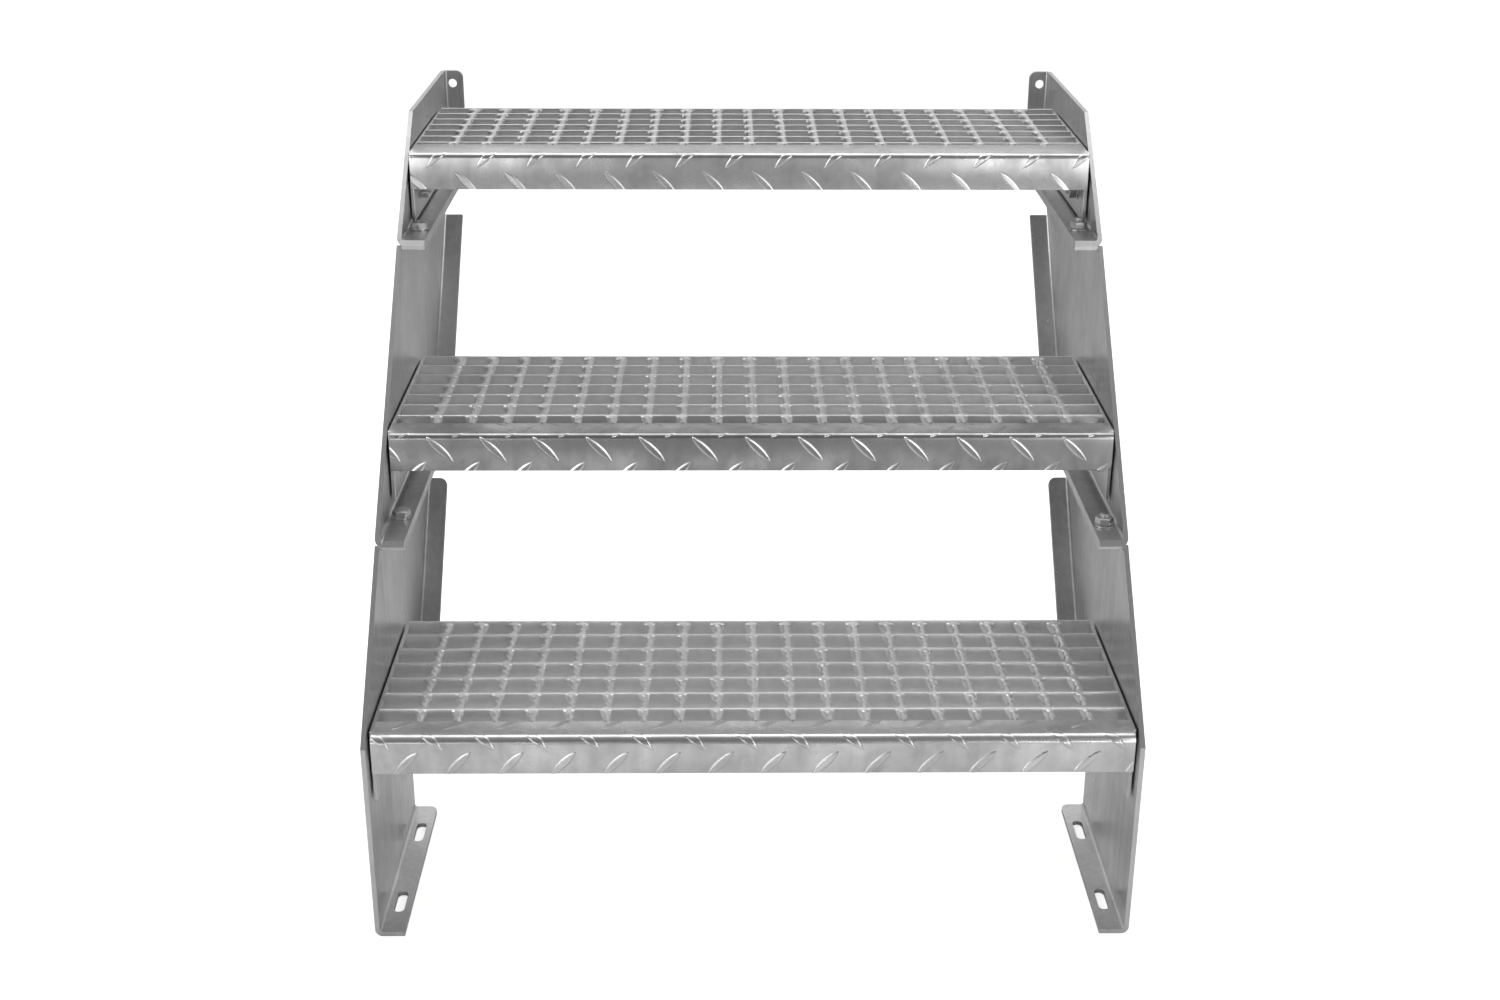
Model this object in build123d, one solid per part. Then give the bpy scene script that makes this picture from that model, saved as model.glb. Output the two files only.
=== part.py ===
from build123d import *
import os
from math import hypot, sqrt

os.makedirs("parts", exist_ok=True)

# A three-step outdoor stair of hot-dip galvanised steel. Each step is a module: a pair of folded
# side panels with a grating tread bolted between them. The modules bolt one on top of another.
# X runs across the stair, +Y runs up the flight towards the wall, +Z is up. Millimetres.
# The origin is on the underside of the left floor flange, midway between its two slots.

# the flight, with the front edge and top face of each tread from the lowest up
step_front = (2, 220, 466)
step_top = (236, 479, 726)
overall_width = 790

# where one module's bottom flange rests on the top flange of the module below
joint_level = (379, 635)
joint_front = (150, 403)

# side panels, folded from sheet
sheet = 5
bend = 8
base_flange = 31
back_flange = 28
base_front = 2
base_length = 250
front_kink = 222
back_kink = 60
lower_front_top = 155
lower_back_top = 550
middle_front_top = 406
middle_back_low = 557
middle_back_top = 800
top_front_top = 545
panel_top = 758
wall_plane = 822
lower_relief = 60
middle_relief = 52
corner_radius = 9

# holes
slot_line = 18.5
slot_length = 38
slot_width = 11
slot_inset = 56
wall_hole_r = 5.5
wall_hole_drop = 16
wall_hole_inset = 14.5
bolt_hole_r = 5.5

# treads
tread_depth = 268
bar_pitch = 34.3
bar_count = 7
bar_thick = 3
bar_height = 30
rod_pitch = 38.1
rod_count = 19
rod_across = 6
rod_shift = 2.2
nosing_length = 770
nosing_depth = (36, 38, 54)
nosing_height = 42
nosing_plate = 3.5
plate_outer = 388.5
plate_thick = 4
plate_front = 18
plate_bottom = 83

# fixings, M10
shank_r = 5
head_across = 17
head_high = 6.5
nut_high = 8
washer_r = 10.5
washer_thick = 2
thread_end = 4
tread_bolt_y = (62, 212)
tread_bolt_drop = 56
joint_bolt_y = {
    ("middle", "left"): 221,
    ("middle", "right"): 196,
    ("top", "left"): 460,
    ("top", "right"): 460,
}

half_width = overall_width / 2
origin_x = slot_line - half_width
origin_y = base_front + base_length / 2


def save(name, solid):
    placed = Pos(-origin_x, -origin_y, 0) * solid
    placed.label = name
    export_step(placed, "parts/" + name + ".step")


def to_side(solid, side):
    return solid if side == "left" else mirror(solid, about=Plane.YZ)


def prism(points, x0, x1):
    # a YZ outline pushed through from x0 to x1
    outline = make_face(Polyline(*[(x0, y, z) for y, z in points], close=True))
    return extrude(outline, amount=x1 - x0, dir=(1, 0, 0))


def fold(p0, p1, width):
    # a flange folded inward along the edge p0 to p1 of the left panel, with its rounded bend
    length = hypot(p1[0] - p0[0], p1[1] - p0[1])
    run = Plane(origin=(-half_width, p0[0], p0[1]), x_dir=(1, 0, 0), z_dir=(0, p1[0] - p0[0], p1[1] - p0[1]))
    inner = bend - sheet
    k = sqrt(0.5)
    section = make_face(
        ThreePointArc((0, bend), (bend * (1 - k), bend * (1 - k)), (bend, 0))
        + Line((bend, 0), (width, 0))
        + Line((width, 0), (width, sheet))
        + Line((width, sheet), (bend, sheet))
        + ThreePointArc((bend, sheet), (bend - inner * k, bend - inner * k), (sheet, bend))
        + Line((sheet, bend), (0, bend))
    )
    return extrude(run * section, amount=length)


def strip(p0, p1):
    # the band of flat sheet that a fold takes the place of
    length = hypot(p1[0] - p0[0], p1[1] - p0[1])
    run = Plane(origin=(-half_width, p0[0], p0[1]), x_dir=(1, 0, 0), z_dir=(0, p1[0] - p0[0], p1[1] - p0[1]))
    return extrude(run * Pos(sheet / 2, bend / 2) * Rectangle(sheet, bend), amount=length)


def folded_panel(outline, folds):
    # the flat sheet of the left panel with each edge of folds turned inward
    panel = prism(outline, -half_width, -half_width + sheet)
    for p0, p1, width in folds:
        panel -= strip(p0, p1)
    for p0, p1, width in folds:
        panel += fold(p0, p1, width)
    return panel & prism(outline, -half_width - 1, -half_width + base_flange + 1)


def round_corner(solid, point, radius):
    return fillet(solid.edges().sort_by_distance(point)[0], radius)


def hole_x(solid, y, z):
    return solid - Pos(-half_width, y, z) * Rot(0, 90, 0) * Cylinder(bolt_hole_r, 30)


def hole_z(solid, y, z):
    return solid - Pos(-half_width + slot_line, y, z) * Cylinder(bolt_hole_r, 30)


def between(p0, p1, z):
    # the point at height z on the line from p0 to p1
    return (p0[0] + (p1[0] - p0[0]) * (z - p0[1]) / (p1[1] - p0[1]), z)


def tread_holes(plate, level):
    for y in tread_bolt_y:
        plate = hole_x(plate, step_front[level] + y, step_top[level] - tread_bolt_drop)
    return plate


def lower_panel(side):
    # stands on the floor, upright in front up to the kink, then leaning back
    top = joint_level[0]
    front_top = (lower_front_top, top)
    back_top = (lower_back_top, top)
    kink = (base_front + base_length, back_kink)
    heel = (base_front + base_length, 0)
    toe = (base_front, 0)
    flange_top = between(back_top, kink, top - lower_relief)
    folds = [
        (front_top, (lower_back_top - 20, top), base_flange),
        (flange_top, between(back_top, kink, back_kink + 15), back_flange),
        (heel, toe, base_flange),
    ]
    panel = folded_panel([front_top, back_top, kink, heel, toe, (base_front, front_kink)], folds)
    panel = round_corner(panel, (base_flange - half_width, heel[0], sheet / 2), corner_radius)
    panel = round_corner(panel, (back_flange - half_width, flange_top[0], flange_top[1]), corner_radius)
    for y in (base_front + slot_inset, base_front + base_length - slot_inset):
        place = Pos(slot_line - half_width, y, sheet / 2) * Rot(0, 0, 90)
        panel -= extrude(place * SlotOverall(slot_length, slot_width), amount=sheet, both=True)
    panel = tread_holes(panel, 0)
    panel = hole_z(panel, joint_bolt_y[("middle", side)], top)
    return to_side(panel, side)


def middle_panel(side):
    # a parallelogram, leaning back from its bottom flange to its top flange
    low, top = joint_level
    front_low = (joint_front[0], low)
    front_top = (middle_front_top, top)
    back_top = (middle_back_top, top)
    back_low = (middle_back_low, low)
    flange_top = between(back_top, back_low, top - middle_relief)
    folds = [
        (front_top, (middle_back_top - 20, top), base_flange),
        (flange_top, between(back_top, back_low, low + 15), back_flange),
        (back_low, front_low, base_flange),
    ]
    panel = folded_panel([front_top, back_top, back_low, front_low], folds)
    panel = tread_holes(panel, 1)
    panel = hole_z(panel, joint_bolt_y[("middle", side)], low)
    panel = hole_z(panel, joint_bolt_y[("top", side)], top)
    return to_side(panel, side)


def top_panel(side):
    # level on top, square at the back, where its flange ends in an ear with a hole for the wall
    low = joint_level[1]
    front_low = (joint_front[1], low)
    outline = [(top_front_top, panel_top), (wall_plane, panel_top), (wall_plane, low), front_low]
    folds = [
        ((wall_plane, panel_top), (wall_plane, low + 12), back_flange),
        ((wall_plane, low), front_low, base_flange),
    ]
    panel = folded_panel(outline, folds)
    panel = round_corner(panel, (back_flange - half_width, wall_plane, panel_top), corner_radius)
    panel = tread_holes(panel, 2)
    panel = hole_z(panel, joint_bolt_y[("top", side)], low)
    hole = Pos(wall_hole_inset - half_width, wall_plane, panel_top - wall_hole_drop) * Rot(90, 0, 0)
    return to_side(panel - hole * Cylinder(wall_hole_r, 20), side)


def grating(level):
    # upright bearing bars across the stair, tied by rods set flush in their top edges
    y0 = step_front[level]
    z0 = step_top[level]
    length = 2 * (plate_outer - plate_thick)
    solid = None
    for i in range(bar_count):
        y = y0 + tread_depth - bar_thick / 2 - i * bar_pitch
        bar = Pos(0, y, z0 - bar_height / 2) * Box(length, bar_thick, bar_height)
        solid = bar if solid is None else solid + bar
    section = RegularPolygon(rod_across / 2, 6, major_radius=False)
    rod = extrude(Plane.XZ * section, amount=nosing_depth[level] - tread_depth)
    rods = []
    for i in range(rod_count):
        x = rod_shift + (i - (rod_count - 1) / 2) * rod_pitch
        rods.append(Pos(x, y0 + nosing_depth[level], z0 - rod_across / 2) * rod)
    return solid + rods


def nosing(level):
    # chequered plate turned down over the front of the tread
    y0 = step_front[level]
    z0 = step_top[level]
    half = nosing_length / 2
    depth = nosing_depth[level]
    outline = [(0, 0), (depth, 0), (depth, -nosing_plate), (nosing_plate, -nosing_plate)]
    outline += [(nosing_plate, -nosing_height), (0, -nosing_height)]
    solid = prism([(y0 + y, z0 + z) for y, z in outline], -half, half)
    return fillet(solid.edges().filter_by(Axis.X).sort_by_distance((0, y0, z0))[0], nosing_plate)


def end_plate(level, side):
    # the tread's end plate, drilled for its two bolts
    y0 = step_front[level]
    z0 = step_top[level]
    front = y0 + plate_front
    back = y0 + tread_depth
    top = z0 - nosing_plate
    low = z0 - plate_bottom
    outline = [(front, top), (back, top), (back, low), (front, low)]
    plate = prism(outline, -plate_outer, plate_thick - plate_outer)
    return to_side(tread_holes(plate, level), side)


def hex_bolt(grip):
    # along +Z: head, washer, the clamped grip, washer, nut and thread end
    hexagon = RegularPolygon(head_across / 2, 6, major_radius=False)
    length = grip + 2 * washer_thick + nut_high + thread_end
    bolt = Pos(0, 0, -washer_thick) * extrude(hexagon, amount=-head_high)
    bolt += Pos(0, 0, -washer_thick) * extrude(Circle(washer_r), amount=washer_thick)
    bolt += Pos(0, 0, -washer_thick) * extrude(Circle(shank_r), amount=length)
    bolt += Pos(0, 0, grip) * extrude(Circle(washer_r), amount=washer_thick)
    bolt += Pos(0, 0, grip + washer_thick) * extrude(hexagon, amount=nut_high)
    return bolt


def tread_bolt(y, level, side):
    # the head stands outside the panel and the nut inside the end plate
    grip = half_width - plate_outer + plate_thick
    place = Pos(-half_width, step_front[level] + y, step_top[level] - tread_bolt_drop) * Rot(0, 90, 0)
    return to_side(place * hex_bolt(grip), side)


def joint_bolt(level, step, side):
    # through both flanges, with the head on top at the left and the nut on top at the right
    z = joint_level[level - 1]
    place = Pos(slot_line - half_width, joint_bolt_y[(step, side)], z)
    if side == "left":
        return place * Pos(0, 0, sheet) * Rot(180, 0, 0) * hex_bolt(2 * sheet)
    return to_side(place * Pos(0, 0, -sheet) * hex_bolt(2 * sheet), side)


steps = ("lower", "middle", "top")
panels = {"lower": lower_panel, "middle": middle_panel, "top": top_panel}

for level, step in enumerate(steps):
    save(step + "_tread_grating", grating(level))
    save(step + "_tread_nosing", nosing(level))
    for side in ("left", "right"):
        save(step + "_side_panel_" + side, panels[step](side))
        save(step + "_tread_end_plate_" + side, end_plate(level, side))
        for place, y in zip(("front", "back"), tread_bolt_y):
            save(step + "_tread_bolt_" + place + "_" + side, tread_bolt(y, level, side))
        if level > 0:
            save(step + "_joint_bolt_" + side, joint_bolt(level, step, side))
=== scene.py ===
import math
import random

import bmesh
import bpy
from mathutils import Matrix, Vector, noise


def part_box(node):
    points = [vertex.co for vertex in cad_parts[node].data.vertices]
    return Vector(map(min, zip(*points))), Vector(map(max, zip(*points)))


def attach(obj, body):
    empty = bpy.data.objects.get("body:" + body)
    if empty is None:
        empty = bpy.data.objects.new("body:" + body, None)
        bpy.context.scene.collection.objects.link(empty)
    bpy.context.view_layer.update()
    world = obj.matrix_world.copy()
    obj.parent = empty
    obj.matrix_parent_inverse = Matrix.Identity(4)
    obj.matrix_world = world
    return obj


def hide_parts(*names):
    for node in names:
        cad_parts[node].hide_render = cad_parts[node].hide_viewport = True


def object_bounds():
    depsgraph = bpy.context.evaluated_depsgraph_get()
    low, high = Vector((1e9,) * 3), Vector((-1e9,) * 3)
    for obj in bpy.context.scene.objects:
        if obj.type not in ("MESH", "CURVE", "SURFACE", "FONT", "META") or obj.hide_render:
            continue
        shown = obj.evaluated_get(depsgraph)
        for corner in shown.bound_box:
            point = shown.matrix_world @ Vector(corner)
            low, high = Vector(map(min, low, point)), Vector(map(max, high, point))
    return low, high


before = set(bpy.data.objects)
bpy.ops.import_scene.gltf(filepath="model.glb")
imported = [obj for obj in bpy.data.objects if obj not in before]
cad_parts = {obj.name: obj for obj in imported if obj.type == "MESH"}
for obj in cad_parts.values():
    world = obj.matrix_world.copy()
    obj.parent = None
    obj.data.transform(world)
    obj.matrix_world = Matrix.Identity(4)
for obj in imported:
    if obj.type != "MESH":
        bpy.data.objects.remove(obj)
cadLow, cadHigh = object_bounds()
mm = 0.001
steps = ("lower", "middle", "top")
sides = ("left", "right")
seed = 26
dice = random.Random(seed)
noise.seed_set(seed)  # Blender seeds its vector noise from the clock otherwise
print("frame loaded:", len(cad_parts), "steel pieces")


def linearColour(hexCode):
    # sRGB hex to the linear values that a shader takes
    channels = [int(hexCode[i : i + 2], 16) / 255 for i in (1, 3, 5)]
    return [c / 12.92 if c <= 0.04045 else ((c + 0.055) / 1.055) ** 2.4 for c in channels] + [1.0]


def addNode(tree, kind, settings=None, links=None):
    # one node, with its settings by input or property name, and what feeds it
    node = tree.nodes.new(kind)
    for key, value in (settings or {}).items():
        if isinstance(key, int) or key in node.inputs:
            node.inputs[key].default_value = value
        else:
            setattr(node, key, value)
    for key, source in (links or {}).items():
        tree.links.new(source, node.inputs[key])
    return node


# Steel dipped in molten zinc. The coat is a soft grey metal, cloudy rather than mirror-like,
# with faint runs where it drained, a fine grain, and duller patches where it has weathered.
# Every grain is drawn coarser than the real one, so that it shows.

zincMaking = {
    "cloudSpread": (0.34, 0.66),  # the part of each noise's range that is stretched from dull to bright
    "runSpread": (0.3, 0.7),
    "spangleShare": 0.12,
    "runDepthMm": 0.03,
}
# In each coat below, the last colour is a painted highlight for the rims of raised marks; only the
# chequer plates carry such rims.
sheetZinc = {  # rolled sheet: long drain runs over broad clouds, with a satin sheen
    "name": "hot-dip galvanised steel sheet",
    "dull": "#c0c0c0",
    "bright": "#dedede",
    "paintedRimHighlight": "#fdfdfd",
    "roughness": (0.26, 0.38),
    "cloudMm": 85,
    "runMm": (7, 7, 260),  # across, across, down the drain line
    "runShare": 0.45,
    "spangleMm": 9,
    "grainMm": 1.6,
    "grainDepthMm": 0.012,
    "waveMm": 60,
    "waveDepthMm": 0.25,
}
gratingZinc = {  # forged bars: a bright thick coat that lies in drips, rough enough to look soft
    "name": "hot-dip galvanised forge-welded grating",
    "dull": "#e6e6e6",
    "bright": "#fafafa",
    "paintedRimHighlight": "#fdfdfd",
    "roughness": (0.3, 0.46),
    "cloudMm": 45,
    "runMm": (9, 9, 30),
    "runShare": 0.3,
    "spangleMm": 6,
    "grainMm": 1.4,
    "grainDepthMm": 0.03,
    "waveMm": 14,
    "waveDepthMm": 0.12,
}
topGratingZinc = gratingZinc | {  # the same coat, painted darker for the top step: painted shade
    "name": "hot-dip galvanised grating, painted darker on the top step",
    "dull": "#cacaca",
    "bright": "#e2e2e2",
}
nosingZinc = {  # chequer plate: the smoothest coat, in soft blotches, with each step's own colours, which are painted light and shade on the one coat
    "name": "hot-dip galvanised chequer plate",
    "roughness": (0.23, 0.37),
    "cloudMm": 70,
    "runMm": (16, 16, 60),
    "runShare": 0.35,
    "spangleMm": 8,
    "grainMm": 2.0,
    "grainDepthMm": 0.005,
    "waveMm": 38,
    "waveDepthMm": 0.42,
}
boltZinc = {  # small parts spun after dipping: a thin even coat, finely mottled
    "name": "hot-dip galvanised bolt",
    "dull": "#b8b8b8",
    "bright": "#e6e6e6",
    "paintedRimHighlight": "#fdfdfd",
    "roughness": (0.28, 0.42),
    "cloudMm": 9,
    "runMm": (3, 3, 3),
    "runShare": 0.3,
    "spangleMm": 2.5,
    "grainMm": 0.7,
    "grainDepthMm": 0.02,
    "waveMm": 5,
    "waveDepthMm": 0.04,
}


def zincCoat(look):
    # clouds, drain runs and spangle set the tone, and the tone sets how sharply the metal mirrors
    material = bpy.data.materials.new(look["name"])
    material.use_nodes = True
    tree = material.node_tree
    tree.nodes.clear()
    place = addNode(tree, "ShaderNodeTexCoord").outputs["Object"]
    scaled = addNode(tree, "ShaderNodeMapping", {"Scale": [1 / mm] * 3}, {"Vector": place})
    inMm = scaled.outputs["Vector"]
    drained = addNode(
        tree,
        "ShaderNodeMapping",
        {"Scale": [1 / size for size in look["runMm"]]},
        {"Vector": inMm},
    )
    clouds = addNode(
        tree,
        "ShaderNodeTexNoise",
        {"Scale": 1 / look["cloudMm"], "Detail": 3.0, "Roughness": 0.55, "Distortion": 0.6},
        {"Vector": inMm},
    )
    runs = addNode(
        tree,
        "ShaderNodeTexNoise",
        {"Scale": 1.0, "Detail": 2.0, "Roughness": 0.5},
        {"Vector": drained.outputs["Vector"]},
    )
    spangle = addNode(
        tree,
        "ShaderNodeTexVoronoi",
        {"Scale": 1 / look["spangleMm"], "Randomness": 1.0},
        {"Vector": inMm},
    )
    grain = addNode(
        tree,
        "ShaderNodeTexNoise",
        {"Scale": 1 / look["grainMm"], "Detail": 2.0},
        {"Vector": inMm},
    )
    waves = addNode(
        tree,
        "ShaderNodeTexNoise",
        {"Scale": 1 / look["waveMm"], "Detail": 1.0},
        {"Vector": inMm},
    )
    least, most = zincMaking["cloudSpread"]
    cloudy = addNode(
        tree,
        "ShaderNodeMapRange",
        {"From Min": least, "From Max": most},
        {"Value": clouds.outputs["Fac"]},
    )
    least, most = zincMaking["runSpread"]
    streaky = addNode(
        tree,
        "ShaderNodeMapRange",
        {"From Min": least, "From Max": most},
        {"Value": runs.outputs["Fac"]},
    )
    tone = addNode(
        tree,
        "ShaderNodeMix",
        {"data_type": "FLOAT", 0: look["runShare"]},
        {2: cloudy.outputs["Result"], 3: streaky.outputs["Result"]},
    )
    facet = addNode(tree, "ShaderNodeSeparateColor", links={"Color": spangle.outputs["Color"]})
    flecked = addNode(
        tree,
        "ShaderNodeMix",
        {"data_type": "FLOAT", 0: zincMaking["spangleShare"]},
        {2: tone.outputs[0], 3: facet.outputs["Red"]},
    )
    colour = addNode(
        tree,
        "ShaderNodeMix",
        {"data_type": "RGBA", 6: linearColour(look["dull"]), 7: linearColour(look["bright"])},
        {0: flecked.outputs[0]},
    )
    # painted highlight: the rims of the chequer marks are mixed towards the near-white rim colour
    rims = addNode(tree, "ShaderNodeAttribute", {"attribute_name": "paintedRimHighlight"})  # 0 where a piece has none
    paintedRimHighlight = addNode(
        tree,
        "ShaderNodeMix",
        {"data_type": "RGBA", 7: linearColour(look["paintedRimHighlight"])},
        {0: rims.outputs["Fac"], 6: colour.outputs[2]},
    )
    roughLow, roughHigh = look["roughness"]
    rough = addNode(
        tree,
        "ShaderNodeMapRange",
        {"To Min": roughHigh, "To Max": roughLow},
        {"Value": flecked.outputs[0]},
    )
    wavy = addNode(
        tree,
        "ShaderNodeBump",
        {"Strength": 1.0, "Distance": look["waveDepthMm"] * mm},
        {"Height": waves.outputs["Fac"]},
    )
    streaked = addNode(
        tree,
        "ShaderNodeBump",
        {"Strength": look["runShare"], "Distance": zincMaking["runDepthMm"] * mm},
        {"Height": runs.outputs["Fac"], "Normal": wavy.outputs["Normal"]},
    )
    grainy = addNode(
        tree,
        "ShaderNodeBump",
        {"Strength": 1.0, "Distance": look["grainDepthMm"] * mm},
        {"Height": grain.outputs["Fac"], "Normal": streaked.outputs["Normal"]},
    )
    shader = addNode(
        tree,
        "ShaderNodeBsdfPrincipled",
        {"Metallic": 1.0},
        {
            "Base Color": paintedRimHighlight.outputs[2],
            "Roughness": rough.outputs["Result"],
            "Normal": grainy.outputs["Normal"],
        },
    )
    addNode(tree, "ShaderNodeOutputMaterial", links={"Surface": shader.outputs["BSDF"]})
    return material


sheetFinish = zincCoat(sheetZinc)
gratingFinish = zincCoat(gratingZinc)
topGratingFinish = zincCoat(topGratingZinc)
boltFinish = zincCoat(boltZinc)
print("zinc finishes made")


def newPiece(name, mesh, finish, node, smoothAngle=35):
    # a finished mesh as a piece of the stair that stands for its steel node
    mesh.normal_update()
    data = bpy.data.meshes.new(name)
    mesh.to_mesh(data)
    mesh.free()
    data.materials.append(finish)
    data.shade_smooth()
    data.set_sharp_from_angle(angle=math.radians(smoothAngle))
    piece = bpy.data.objects.new(name, data)
    bpy.context.scene.collection.objects.link(piece)
    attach(piece, "root")
    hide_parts(node)


sheetMetal = {
    "edgeRoundMm": 0.7,  # sheared edges, softened by the zinc
    "roundSteps": 2,
    "sharpFromDeg": 50,  # a fold's facets meet at less than this, so only real edges are rounded
    "joinMm": 0.01,
}


def finishSheet(node):
    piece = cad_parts[node]
    piece.data.materials.clear()
    piece.data.materials.append(sheetFinish)
    weld = piece.modifiers.new("joinedFaces", "WELD")
    weld.merge_threshold = sheetMetal["joinMm"] * mm
    bevel = piece.modifiers.new("softEdges", "BEVEL")
    bevel.width = sheetMetal["edgeRoundMm"] * mm
    bevel.segments = sheetMetal["roundSteps"]
    bevel.limit_method = "ANGLE"
    bevel.angle_limit = math.radians(sheetMetal["sharpFromDeg"])


for step in steps:
    for side in sides:
        finishSheet(step + "_side_panel_" + side)
        finishSheet(step + "_tread_end_plate_" + side)
print("sheet pieces finished")


chequerPlate = {
    "markLengthMm": 40,
    "markWidthMm": 9,
    "markHighMm": 1.1,
    "markRings": (  # inset, height, and how much painted highlight the rim carries
        (0.0, -0.4, 1.0),
        (0.0, 0.0, 1.0),
        (0.7, 0.6, 1.0),
        (1.4, 0.95, 1.0),
        (2.0, 1.1, 0.6),
        (2.8, 1.1, 0.0),
    ),
    "markTaper": (2.2, 0.8),  # powers that give each mark its pointed ends
    "markPoints": 28,
    "bendSteps": 10,
    "crossCuts": 40,
    "thickMm": 2.4,
    "edgeRoundMm": 0.5,
    "edgeFullness": 0.6,
}
# How each plate was cut, in mm: its first row from the bend's lower end, and where its marks start.
# wornShare is the height that feet have left of the marks on top.
# Each step's colours are lit and shaded copies of the one coat: the middle plate is painted darkest, the
# lower and top plates lighter, for the light and shade each step shows.
nosings = {
    "lower": {
        "markPitch": 52.9,
        "rowPitch": 29.7,
        "row": -7.7,
        "starts": (5.6, 33.4),
        "slant": 1,
        "rows": (-1, 2),
        "bendMm": 8.0,
        "wornShare": 0.15,
        "zinc": {"dull": "#bababa", "bright": "#f0f0f0", "paintedRimHighlight": "#dedede"},
    },
    "middle": {
        "markPitch": 56.3,
        "rowPitch": 27.4,
        "row": 11.1,
        "starts": (-2.7, 25.1),
        "slant": 1,
        "rows": (-2, 2),
        "bendMm": 5.5,
        "wornShare": 0.2,
        "zinc": {"dull": "#929292", "bright": "#c8c8c8", "paintedRimHighlight": "#fdfdfd"},
    },
    "top": {
        "markPitch": 56.3,
        "rowPitch": 31.5,
        "row": -3.5,
        "starts": (32.6, 7.0),
        "slant": -1,
        "rows": (0, 2),
        "bendMm": 5.5,
        "wornShare": 0.2,
        "zinc": {"dull": "#b0b0b0", "bright": "#f4f4f4", "paintedRimHighlight": "#f8f8f8"},
    },
}


def chequerMark(mesh, paintedRimHighlight, x, u, slant):
    # one raised mark on the flat plate, long axis at 45 degrees, closed underneath
    points = chequerPlate["markPoints"]
    squareness, fullness = chequerPlate["markTaper"]
    rings = []
    for inset, high, rim in chequerPlate["markRings"]:
        halfLong = chequerPlate["markLengthMm"] / 2 - inset
        halfWide = chequerPlate["markWidthMm"] / 2 - inset
        ring = []
        for i in range(points):
            turn = math.tau * i / points
            along = halfLong * math.cos(turn)
            taper = (1 - abs(math.cos(turn)) ** squareness) ** fullness
            across = halfWide * taper * (1 if math.sin(turn) > 0 else -1)
            dx = (along + across) / math.sqrt(2)
            du = slant * (along - across) / math.sqrt(2)
            point = mesh.verts.new((x + dx, u + du, high))
            # the ring's share of the painted rim highlight
            point[paintedRimHighlight] = rim
            ring.append(point)
        rings.append(ring)
    for lower, upper in zip(rings, rings[1:]):
        for i in range(points):
            j = (i + 1) % points
            mesh.faces.new((lower[i], lower[j], upper[j], upper[i]))
    mesh.faces.new(rings[-1])
    mesh.faces.new(list(reversed(rings[0])))


def cutFlat(mesh, point, normal, keep):
    # cuts the flat plate along a line, and if keep is set drops and caps what is beyond it
    parts = mesh.verts[:] + mesh.edges[:] + mesh.faces[:]
    cut = bmesh.ops.bisect_plane(
        mesh, geom=parts, plane_co=point, plane_no=normal, clear_outer=keep, dist=1e-5
    )
    if keep:
        edges = [e for e in cut["geom_cut"] if isinstance(e, bmesh.types.BMEdge)]
        bmesh.ops.holes_fill(mesh, edges=edges, sides=0)


def nosingPiece(step):
    look = nosings[step]
    node = step + "_tread_nosing"
    low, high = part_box(node)
    rise = chequerPlate["markHighMm"]
    bend = look["bendMm"]
    length = (high.x - low.x) / mm
    stripFlat = (high.y - low.y) / mm - rise - bend
    arc = math.pi / 2 * bend
    faceFlat = (high.z - low.z) / mm - rise - bend
    # flat pattern: x along the nosing, y from the bend's lower end, down the face positive
    back, foot = -arc - stripFlat, faceFlat
    plate = bmesh.new()
    paintedRimHighlight = plate.verts.layers.float.new("paintedRimHighlight")
    for k in range(*look["rows"]):
        u = look["row"] + k * look["rowPitch"]
        slant = look["slant"] if k % 2 == 0 else -look["slant"]
        x = look["starts"][k % 2] - look["markPitch"]
        while x < length + look["markPitch"]:
            chequerMark(plate, paintedRimHighlight, x, u, slant)
            x += look["markPitch"]
    margin = chequerPlate["edgeRoundMm"]
    for point, normal in (
        ((0, back + margin, 0), (0, -1, 0)),
        ((0, foot - margin, 0), (0, 1, 0)),
        ((margin, 0, 0), (-1, 0, 0)),
        ((length - margin, 0, 0), (1, 0, 0)),
    ):
        cutFlat(plate, point, normal, True)
    slab = bmesh.ops.create_cube(plate, size=1.0)["verts"]
    for v in slab:
        v.co = Vector(
            (
                (v.co.x + 0.5) * length,
                back + (v.co.y + 0.5) * (foot - back),
                (v.co.z - 0.5) * chequerPlate["thickMm"],
            )
        )
    slabEdges = [e for e in plate.edges if e.verts[0] in slab and e.verts[1] in slab]
    fullness = chequerPlate["edgeFullness"]
    bmesh.ops.bevel(plate, geom=slabEdges, offset=margin, segments=2, profile=fullness, affect="EDGES")
    for i in range(chequerPlate["bendSteps"] + 1):
        cutFlat(plate, (0, -arc * i / chequerPlate["bendSteps"], 0), (0, 1, 0), False)
    for i in range(1, chequerPlate["crossCuts"]):  # keeps the long faces from being slivers
        cutFlat(plate, (length * i / chequerPlate["crossCuts"], 0, 0), (1, 0, 0), False)
    for v in plate.verts:
        x, u, h = v.co
        onFace = min(1, max(0, 1 + u / arc))  # 1 on the face, 0 on top, and fading round the bend
        # the painted rim highlight stays on the face and fades out round the bend, leaving the top
        # without it
        v[paintedRimHighlight] *= onFace
        if h > 0:
            h *= look["wornShare"] + (1 - look["wornShare"]) * onFace  # only the marks stand above 0
        if u > 0:
            y, z = -h, -bend - u
        elif u > -arc:
            turn = -u / bend
            y = bend - (bend + h) * math.cos(turn)
            z = -bend + (bend + h) * math.sin(turn)
        else:
            y, z = bend - arc - u, h
        v.co = Vector((low.x + x * mm, low.y + (rise + y) * mm, high.z + (z - rise) * mm))
    # the one coat in this step's painted light and shade, with the painted rim highlight
    finish = zincCoat(nosingZinc | look["zinc"] | {"name": nosingZinc["name"] + ", " + step + " step"})
    newPiece(step + "_chequered_nosing", plate, finish, node)


for step in steps:
    nosingPiece(step)
print("nosings bent from chequer plate")


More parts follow.
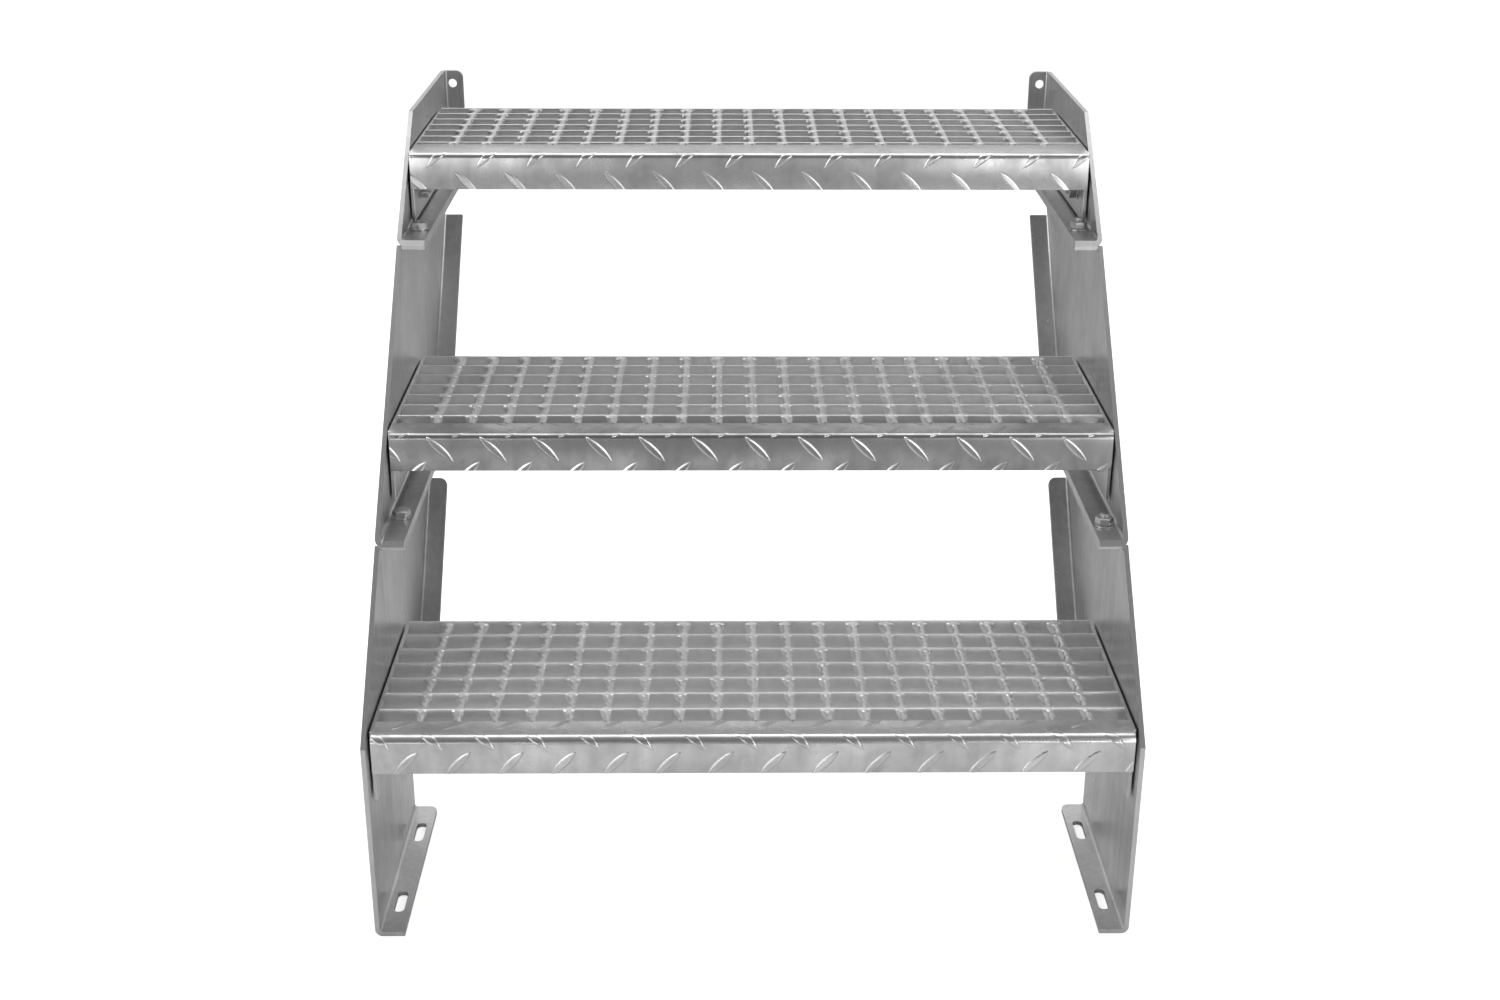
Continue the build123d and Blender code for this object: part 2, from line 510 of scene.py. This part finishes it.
gratingLook = {
    "barCount": 7,
    "barPitchMm": 34.3,
    "barThickMm": 3,
    "barHighMm": 30,
    "barEdgeMm": 0.6,
    "barStepMm": 6,  # spacing of the stations that the bar's zinc is uneven over
    "unevenMm": 0.22,
    "unevenAcross": 0.7,  # how much of that shows sideways
    "unevenPerM": (90, 70, 120),  # lumps along, from bar to bar, and down
    "unevenRoundBar": 300,
    "rodCount": 19,
    "rodPitchMm": 38.1,
    "rodShiftMm": 2.2,
    "rodSideMm": 6.0,
    "rodCornerMm": 1.0,
    "rodCornerLeans": (-0.6, 0.0, 0.6),  # radians either side of each corner
    "rodTurnMm": 46,  # one full twist
    "rodStepMm": 2.5,
    "weldMm": (8.5, 6.5, 8.0),  # along the bar, along the rod, deep
    "weldShiftMm": 1.5,
    "weldSinkMm": 0.2,
    "weldVaries": (0.88, 0.24),  # the least share of its size, and how much more it may have
    "weldStar": 0.38,  # how far it reaches along the bar and the rod, against between them
    "weldPoints": 16,
    "weldProfile": (  # spread and height, from the flat top down
        (0.5, 1.0),
        (0.85, 0.95),
        (1.0, 0.8),
        (0.85, 0.2),
        (0.5, -0.5),
        (0.15, -1.0),
    ),
}


def bearingBar(mesh, x0, x1, y, top):
    # an upright flat bar with soft edges and a slightly uneven zinc coat
    half = gratingLook["barThickMm"] / 2 * mm
    edge = gratingLook["barEdgeMm"] * mm
    base = top - gratingLook["barHighMm"] * mm
    section = [
        (-half, base + edge),
        (-half + edge, base),
        (half - edge, base),
        (half, base + edge),
        (half, top - edge),
        (half - edge * 0.3, top - edge * 0.3),
        (half - edge, top),
        (-half + edge, top),
        (-half + edge * 0.3, top - edge * 0.3),
        (-half, top - edge),
    ]
    depth = gratingLook["unevenMm"]
    lumpsX, lumpsY, lumpsZ = gratingLook["unevenPerM"]
    count = round((x1 - x0) / (gratingLook["barStepMm"] * mm))
    rings = []
    for i in range(count + 1):
        x = x0 + (x1 - x0) * i / count
        ring = []
        for dy, z in section:
            spot = Vector((x * lumpsX, y * lumpsY + dy * gratingLook["unevenRoundBar"], z * lumpsZ))
            uneven = noise.noise_vector(spot)
            lean = uneven.y * depth * gratingLook["unevenAcross"] * mm
            drop = abs(uneven.z) * depth * mm if z > base + edge * 2 else 0
            ring.append(mesh.verts.new((x, y + dy + lean, z - drop)))
        rings.append(ring)
    skinRings(mesh, rings)


def skinRings(mesh, rings):
    # closed tube through rings of the same size, capped at both ends
    size = len(rings[0])
    for a, b in zip(rings, rings[1:]):
        for i in range(size):
            j = (i + 1) % size
            mesh.faces.new((a[i], a[j], b[j], b[i]))
    mesh.faces.new(list(reversed(rings[0])))
    mesh.faces.new(rings[-1])


def twistedRod(mesh, x, y0, y1, top):
    # square rod with rounded corners, twisted along its length, its corners level with the bars
    corner = gratingLook["rodCornerMm"] * mm
    diagonal = (gratingLook["rodSideMm"] / 2 * mm - corner) * math.sqrt(2)
    centre = top - (diagonal + corner)
    start = dice.random() * math.tau
    count = round((y1 - y0) / (gratingLook["rodStepMm"] * mm))
    rings = []
    for i in range(count + 1):
        y = y0 + (y1 - y0) * i / count
        turn = start + (y - y0) / (gratingLook["rodTurnMm"] * mm) * math.tau
        ring = []
        for quarter in range(4):
            a = turn + quarter * math.pi / 2
            for lean in gratingLook["rodCornerLeans"]:
                px = diagonal * math.cos(a) + corner * math.cos(a + lean)
                pz = diagonal * math.sin(a) + corner * math.sin(a + lean)
                ring.append(mesh.verts.new((x + px, y, centre + pz)))
        rings.append(ring)
    skinRings(mesh, rings)


def weldFlash(mesh, x, y, top):
    # the steel and zinc squeezed up round a rod where it is forged into a bar
    least, more = gratingLook["weldVaries"]
    along, across, deep = (size * mm * (least + more * dice.random()) for size in gratingLook["weldMm"])
    points, star = gratingLook["weldPoints"], gratingLook["weldStar"]
    rings = []
    for spread, lift in gratingLook["weldProfile"]:
        z = top - gratingLook["weldSinkMm"] * mm - deep + deep * lift
        ring = []
        for j in range(points):
            turn = math.tau * j / points
            reach = spread * (1 - star + star * math.cos(2 * turn) ** 2)
            px, py = along * reach * math.cos(turn), across * reach * math.sin(turn)
            ring.append(mesh.verts.new((x + px, y + py, z)))
        rings.append(ring)
    skinRings(mesh, rings)


def gratingPiece(step):
    node = step + "_tread_grating"
    low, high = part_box(node)
    mesh = bmesh.new()
    lastBar = high.y - gratingLook["barThickMm"] / 2 * mm
    bars = [lastBar - i * gratingLook["barPitchMm"] * mm for i in range(gratingLook["barCount"])]
    for y in bars:
        bearingBar(mesh, low.x, high.x, y, high.z)
    middle = (low.x + high.x) / 2 + gratingLook["rodShiftMm"] * mm
    for i in range(gratingLook["rodCount"]):
        x = middle + (i - (gratingLook["rodCount"] - 1) / 2) * gratingLook["rodPitchMm"] * mm
        twistedRod(mesh, x, low.y, high.y, high.z)
        for y in bars:
            inside = min(y, high.y - gratingLook["weldMm"][1] * mm)
            weldFlash(mesh, x - gratingLook["weldShiftMm"] * mm, inside, high.z)
    # the top step's grating takes the darker copy of the coat, as painted shade
    finish = topGratingFinish if step == "top" else gratingFinish
    newPiece(step + "_welded_grating", mesh, finish, node)


for step in steps:
    gratingPiece(step)
print("gratings welded")


boltLook = {
    "acrossFlatsMm": 17,
    "headHighMm": 6.5,
    "nutHighMm": 8,
    "hexPoints": 72,
    "chamferDeg": 30,
    "faceShare": 0.96,  # the flat round on a head, against its width across flats
    "washerRadiusMm": 10.5,
    "washerThickMm": 2,
    "washerPoints": 48,
    "washerSoftMm": 0.35,
    "threadEndMm": 4,
    "threadRadiusMm": 5,
    "threadPitchMm": 1.5,
    "threadDeepMm": 0.75,
    "threadPoints": 36,
    "threadRows": 8,  # for each turn
    "threadLeadMm": 1.0,
    "threadLeadSlope": 0.9,
}


def ringOf(mesh, radii, heights):
    count = len(radii)
    return [
        mesh.verts.new((r * math.cos(math.tau * i / count), r * math.sin(math.tau * i / count), z))
        for i, (r, z) in enumerate(zip(radii, heights))
    ]


def hexBody(mesh, z0, z1, chamferBottom, turn):
    # a hexagon with its corners turned back by a shallow cone, as on a pressed head or nut
    count = boltLook["hexPoints"]
    flat = boltLook["acrossFlatsMm"] / 2
    slope = math.tan(math.radians(boltLook["chamferDeg"]))
    face = flat * boltLook["faceShare"]
    radii = []
    for i in range(count):
        a = (math.tau * i / count + turn) % (math.tau / 6) - math.tau / 12
        radii.append(flat / math.cos(a))
    rings = []
    if chamferBottom:
        rings.append(ringOf(mesh, [face] * count, [z0] * count))
        rings.append(ringOf(mesh, radii, [z0 + (r - face) * slope for r in radii]))
    else:
        rings.append(ringOf(mesh, radii, [z0] * count))
    rings.append(ringOf(mesh, radii, [z1 - (r - face) * slope for r in radii]))
    rings.append(ringOf(mesh, [face] * count, [z1] * count))
    skinRings(mesh, rings)


def washerBody(mesh, z0, z1):
    count = boltLook["washerPoints"]
    radius, soft = boltLook["washerRadiusMm"], boltLook["washerSoftMm"]
    outline = [(radius - soft, z0), (radius, z0 + soft), (radius, z1 - soft), (radius - soft, z1)]
    skinRings(mesh, [ringOf(mesh, [r] * count, [z] * count) for r, z in outline])


def threadBody(mesh, z0, z1):
    # a rolled thread as a true helix, with a chamfered end
    count = boltLook["threadPoints"]
    crest, pitch, deep = (boltLook["thread" + size] for size in ("RadiusMm", "PitchMm", "DeepMm"))
    rows = round((z1 - z0) / (pitch / boltLook["threadRows"]))
    rings = []
    for k in range(rows + 1):
        z = z0 + (z1 - z0) * k / rows
        limit = crest - max(0.0, z - (z1 - boltLook["threadLeadMm"])) * boltLook["threadLeadSlope"]
        radii = []
        for i in range(count):
            phase = z / pitch - i / count
            radii.append(min(limit, crest - deep * (0.5 - 0.5 * math.cos(math.tau * phase))))
        rings.append(ringOf(mesh, radii, [z] * count))
    skinRings(mesh, rings)


def boltPiece(node, axis, atHigh):
    # axis is the one the bolt lies on; atHigh says that its head is at the high end
    low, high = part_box(node)
    length = (high[axis] - low[axis]) / mm
    washer, head, nut = boltLook["washerThickMm"], boltLook["headHighMm"], boltLook["nutHighMm"]
    mesh = bmesh.new()
    hexBody(mesh, length - head, length, False, dice.random())
    washerBody(mesh, length - head - washer, length - head)
    nutLow = boltLook["threadEndMm"]
    hexBody(mesh, nutLow, nutLow + nut, True, dice.random())
    washerBody(mesh, nutLow + nut, nutLow + nut + washer)
    shank = bmesh.new()
    threadBody(shank, -(length - head - washer), 0.0)
    for v in shank.verts:
        v.co.z = -v.co.z
        v.co.x = -v.co.x
    grown = bpy.data.meshes.new("shank")
    shank.to_mesh(grown)
    shank.free()
    mesh.from_mesh(grown)
    bpy.data.meshes.remove(grown)
    # the mesh stands with its nut end at 0 and its head at length
    middle = (low + high) / 2
    end = middle.copy()
    end[axis] = low[axis] if atHigh else high[axis]
    aim = Vector((0, 0, 0))
    aim[axis] = 1.0 if atHigh else -1.0
    turn = Vector((0, 0, 1)).rotation_difference(aim).to_matrix().to_4x4()
    seat = Matrix.Translation(end) @ turn @ Matrix.Scale(mm, 4)
    bmesh.ops.transform(mesh, matrix=seat, verts=mesh.verts)
    newPiece(node + "_set", mesh, boltFinish, node, smoothAngle=32)


for step in steps:
    for side in sides:
        for place in ("front", "back"):
            boltPiece(step + "_tread_bolt_" + place + "_" + side, 0, side == "right")
        if step != "lower":
            boltPiece(step + "_joint_bolt_" + side, 2, side == "left")
print("bolts set")


studio = {
    "floorColour": "#f6f6f5",
    "floorRoughness": 0.9,
    "floorDropMm": 0.2,
    "floorEdges": 96,
    "floorLightFromM": -3.0,
    "floorLightToM": 2.0,
    # painted light on the floor as the steel mirrors it, from front to back: dim in front, a painted
    # pool of light near the stair, softer behind
    "mirroredFloorLight": (
        (-2.8, "#b0b0b0"),
        (-1.7, "#808080"),
        (-1.0, "#808080"),
        (-0.8, "#f8f8f8"),
        (0.35, "#e0e0e0"),
        (0.9, "#bcbcbc"),
    ),
    "floorGlow": 0.72,
    "floorSizeM": 60,
    "roomBackdrop": "#ffffff",
    "roomGlow": (0.18, 0.8),  # towards the front and towards the back of the stair
    "roomGlowFrom": (-0.85, 0.7),  # how far forwards and backwards the change between them starts
    "cameraM": (0.3470, -1.8098, 1.1833),
    "cameraLensMm": 45.93,
    "cameraSensorMm": 36,
    "cameraTurnDeg": 0.83,
    "cameraDownDeg": 22.28,
    "cameraRollDeg": -0.26,
}
softboxes = {  # in metres; glow is the radiance of the cloth
    "overhead": {"at": (0.3, 1.55, 2.7), "aim": (0.3, 1.55, 0.0), "size": (3.2, 2.6), "glow": 1.6},
    "left": {"at": (-2.2, -1.5, 1.8), "aim": (0.38, 0.2, 0.4), "size": (1.8, 1.8), "glow": 2.0},
    "right": {"at": (2.4, -2.3, 1.7), "aim": (0.38, 0.2, 0.4), "size": (1.6, 1.6), "glow": 1.8},
    "lowLeft": {"at": (-1.4, -2.6, 0.3), "aim": (-1.0, 0.3, 0.3), "size": (2.3, 0.6), "glow": 2.3},
    "lowRight": {"at": (2.3, -2.6, 0.3), "aim": (1.9, 0.3, 0.3), "size": (2.3, 0.6), "glow": 4.0},
}


def makeFloor():
    # a white sweep to look at, and painted bands of light and shade on the floor to be mirrored in the
    # steel
    rough, edges = studio["floorRoughness"], studio["floorEdges"]
    mesh = bmesh.new()
    bmesh.ops.create_circle(mesh, cap_ends=True, segments=edges, radius=studio["floorSizeM"] / 2)
    data = bpy.data.meshes.new("studio_floor")
    mesh.to_mesh(data)
    mesh.free()
    material = bpy.data.materials.new("matt white studio floor")
    material.use_nodes = True
    tree = material.node_tree
    tree.nodes.clear()
    seen = addNode(
        tree,
        "ShaderNodeBsdfPrincipled",
        {
            "Base Color": linearColour(studio["floorColour"]),
            "Roughness": rough,
            "Emission Color": linearColour(studio["floorColour"]),
            "Emission Strength": studio["floorGlow"],
        },
    )
    place = addNode(tree, "ShaderNodeTexCoord").outputs["Object"]
    split = addNode(tree, "ShaderNodeSeparateXYZ", links={"Vector": place})
    low, high = studio["floorLightFromM"], studio["floorLightToM"]
    along = addNode(
        tree,
        "ShaderNodeMapRange",
        {"From Min": low, "From Max": high},
        {"Value": split.outputs["Y"]},
    )
    # painted light: the floor's tone by position, seen only in the steel's reflections
    bands = addNode(tree, "ShaderNodeValToRGB", links={"Fac": along.outputs["Result"]})
    ramp = bands.color_ramp.elements
    for spot, (y, tone) in enumerate(studio["mirroredFloorLight"]):
        stop = ramp[spot] if spot < 2 else ramp.new(1.0)
        stop.position = (y - low) / (high - low)
        stop.color = linearColour(tone)
    mirrored = addNode(
        tree,
        "ShaderNodeBsdfPrincipled",
        {"Roughness": rough},
        {"Base Color": bands.outputs["Color"]},
    )
    path = addNode(tree, "ShaderNodeLightPath")
    both = addNode(
        tree,
        "ShaderNodeMixShader",
        links={0: path.outputs["Is Camera Ray"], 1: mirrored.outputs[0], 2: seen.outputs[0]},
    )
    addNode(tree, "ShaderNodeOutputMaterial", links={"Surface": both.outputs[0]})
    data.materials.append(material)
    floor = bpy.data.objects.new("studio_floor", data)
    floor.location.z = cadLow.z - studio["floorDropMm"] * mm
    bpy.context.scene.collection.objects.link(floor)


def makeRoom():
    # a soft room, dimmer in front than behind, with a white backdrop
    world = bpy.data.worlds.new("studio room")
    world.use_nodes = True
    tree = world.node_tree
    tree.nodes.clear()
    around = addNode(tree, "ShaderNodeTexCoord").outputs["Generated"]
    split = addNode(tree, "ShaderNodeSeparateXYZ", links={"Vector": around})
    front, back = studio["roomGlow"]
    forwards, backwards = studio["roomGlowFrom"]
    glow = addNode(
        tree,
        "ShaderNodeMapRange",
        {
            "From Min": forwards,
            "From Max": backwards,
            "To Min": front,
            "To Max": back,
            "interpolation_type": "SMOOTHSTEP",
        },
        {"Value": split.outputs["Y"]},
    )
    room = addNode(tree, "ShaderNodeBackground", links={"Strength": glow.outputs["Result"]})
    backdrop = addNode(tree, "ShaderNodeBackground", {"Color": linearColour(studio["roomBackdrop"])})
    path = addNode(tree, "ShaderNodeLightPath")
    both = addNode(
        tree,
        "ShaderNodeMixShader",
        links={0: path.outputs["Is Camera Ray"], 1: room.outputs[0], 2: backdrop.outputs[0]},
    )
    addNode(tree, "ShaderNodeOutputWorld", links={"Surface": both.outputs[0]})
    bpy.context.scene.world = world


def makeSoftbox(name, box):
    light = bpy.data.lights.new(name + "_softbox", "AREA")
    light.shape = "RECTANGLE"
    light.size, light.size_y = box["size"]
    light.energy = box["glow"] * math.pi * light.size * light.size_y
    lamp = bpy.data.objects.new(name + "_softbox", light)
    lamp.location = box["at"]
    aim = Vector(box["aim"]) - Vector(box["at"])
    lamp.rotation_mode = "QUATERNION"
    lamp.rotation_quaternion = aim.to_track_quat("-Z", "Y")
    lamp.visible_camera = False
    bpy.context.scene.collection.objects.link(lamp)


def makeCamera():
    # stands in front of the stair, a little above it, looking down at the treads
    turn = math.radians(studio["cameraTurnDeg"])
    down = math.radians(studio["cameraDownDeg"])
    roll = math.radians(studio["cameraRollDeg"])
    ahead = Vector((math.sin(turn) * math.cos(down), math.cos(turn) * math.cos(down), -math.sin(down)))
    level = Vector((math.cos(turn), -math.sin(turn), 0))
    plumb = ahead.cross(level)
    right = level * math.cos(roll) + plumb * math.sin(roll)
    below = plumb * math.cos(roll) - level * math.sin(roll)
    data = bpy.data.cameras.new("studio_camera")
    data.lens = studio["cameraLensMm"]
    data.sensor_width = studio["cameraSensorMm"]
    camera = bpy.data.objects.new("studio_camera", data)
    facing = Matrix((right, -below, -ahead)).transposed().to_4x4()
    camera.matrix_world = Matrix.Translation(studio["cameraM"]) @ facing
    bpy.context.scene.collection.objects.link(camera)
    bpy.context.scene.camera = camera


makeFloor()
makeRoom()
for name, box in softboxes.items():
    makeSoftbox(name, box)
makeCamera()
bpy.context.scene.view_settings.view_transform = "Standard"
print("studio set")
